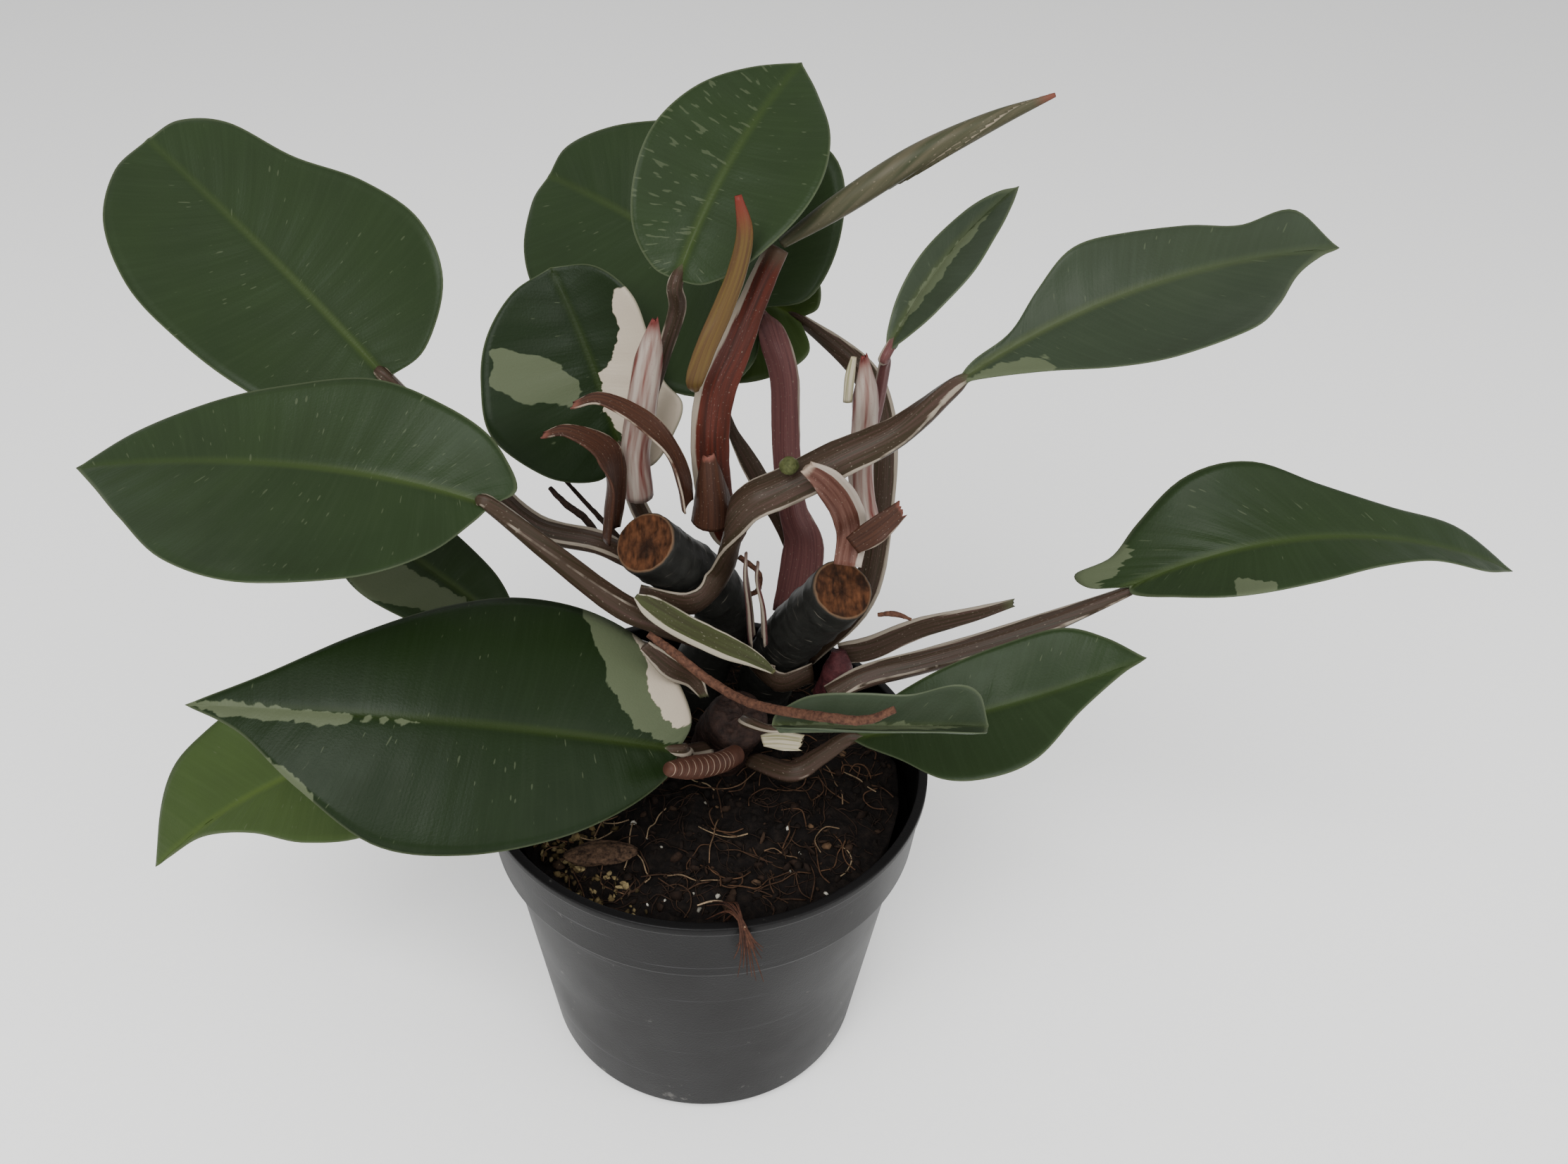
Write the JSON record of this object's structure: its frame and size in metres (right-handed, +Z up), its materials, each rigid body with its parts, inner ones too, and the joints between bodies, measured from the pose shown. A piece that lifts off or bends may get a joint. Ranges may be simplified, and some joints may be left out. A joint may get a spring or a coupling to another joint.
{
  "type": "potted philodendron",
  "caption": "Variegated philodendron with broad oval leaves on leaning cut stems, in a plain round plastic nursery pot with a deep collar and damp peat.",
  "frame": {"origin": "centre of the pot's underside, on the surface it stands on", "axes": "+Z up; -Y is the front of the plant; +X is to the right seen from the front"},
  "size_m": [0.3533, 0.1562, 0.2625],
  "materials": {
    "pot_plastic": "moulded, slight sheen",
    "peat": "damp crumbly peat",
    "bark": "rough bark",
    "stem": "smooth dark bark",
    "leaf_green": "waxy, satin",
    "leaf_variegated": "waxy, green with cream sectors",
    "leaf_young": "waxy, taupe",
    "petiole_red": "waxy, red to maroon",
    "petiole_olive": "waxy, olive brown with cream edges",
    "sheath_cream": "waxy, cream and pink",
    "cataphyll_brown": "papery, dry",
    "root": "dry, fibrous"
  },
  "bodies": {
    "root": {"bark_chip": "bark", "blade_back": "leaf_green", "blade_back_low": "leaf_green", "blade_bottom_right": "leaf_green", "blade_cream": "leaf_variegated", "blade_drooping": "leaf_green", "blade_folded": "leaf_green", "blade_inner_left": "leaf_green", "blade_left": "leaf_green", "blade_lower_left": "leaf_green", "blade_narrow": "leaf_green", "blade_right_lower": "leaf_green", "blade_right_upper": "leaf_green", "blade_rolled": "leaf_young", "blade_top": "leaf_green", "blade_upper_left": "leaf_green", "bud_right": "petiole_red", "cataphyll_brown_left": "cataphyll_brown", "cataphyll_long": "cataphyll_brown", "cataphyll_rolled": "cataphyll_brown", "knob_right": "petiole_olive", "petiole_back": "petiole_red", "petiole_back_low": "petiole_olive", "petiole_bottom_right": "petiole_olive", "petiole_cream": "petiole_olive", "petiole_drooping": "petiole_olive", "petiole_folded": "petiole_olive", "petiole_inner_left": "petiole_olive", "petiole_left": "petiole_olive", "petiole_lower_left": "petiole_olive", "petiole_narrow": "petiole_red", "petiole_right_lower": "petiole_olive", "petiole_right_upper": "petiole_olive", "petiole_rolled": "petiole_red", "petiole_stump": "petiole_olive", "petiole_top": "petiole_olive", "petiole_upper_left": "petiole_olive", "pot": "pot_plastic", "root_fibre": "root", "root_long": "root", "root_loop": "root", "root_ringed": "root", "root_upper": "root", "root_upper_thin": "root", "rootlet": "root", "sheath_low": "sheath_cream", "sheath_narrow": "sheath_cream", "sheath_top": "sheath_cream", "sheath_torn": "sheath_cream", "sheath_wing": "petiole_olive", "shoot_horn_left": "cataphyll_brown", "shoot_horn_right": "cataphyll_brown", "soil": "peat", "spike_narrow": "petiole_red", "spike_rolled": "leaf_young", "stem_front": "stem", "stem_left": "stem", "stem_right": "stem", "strap_left": "cataphyll_brown", "strap_right": "cataphyll_brown"}
  },
  "joints": []
}
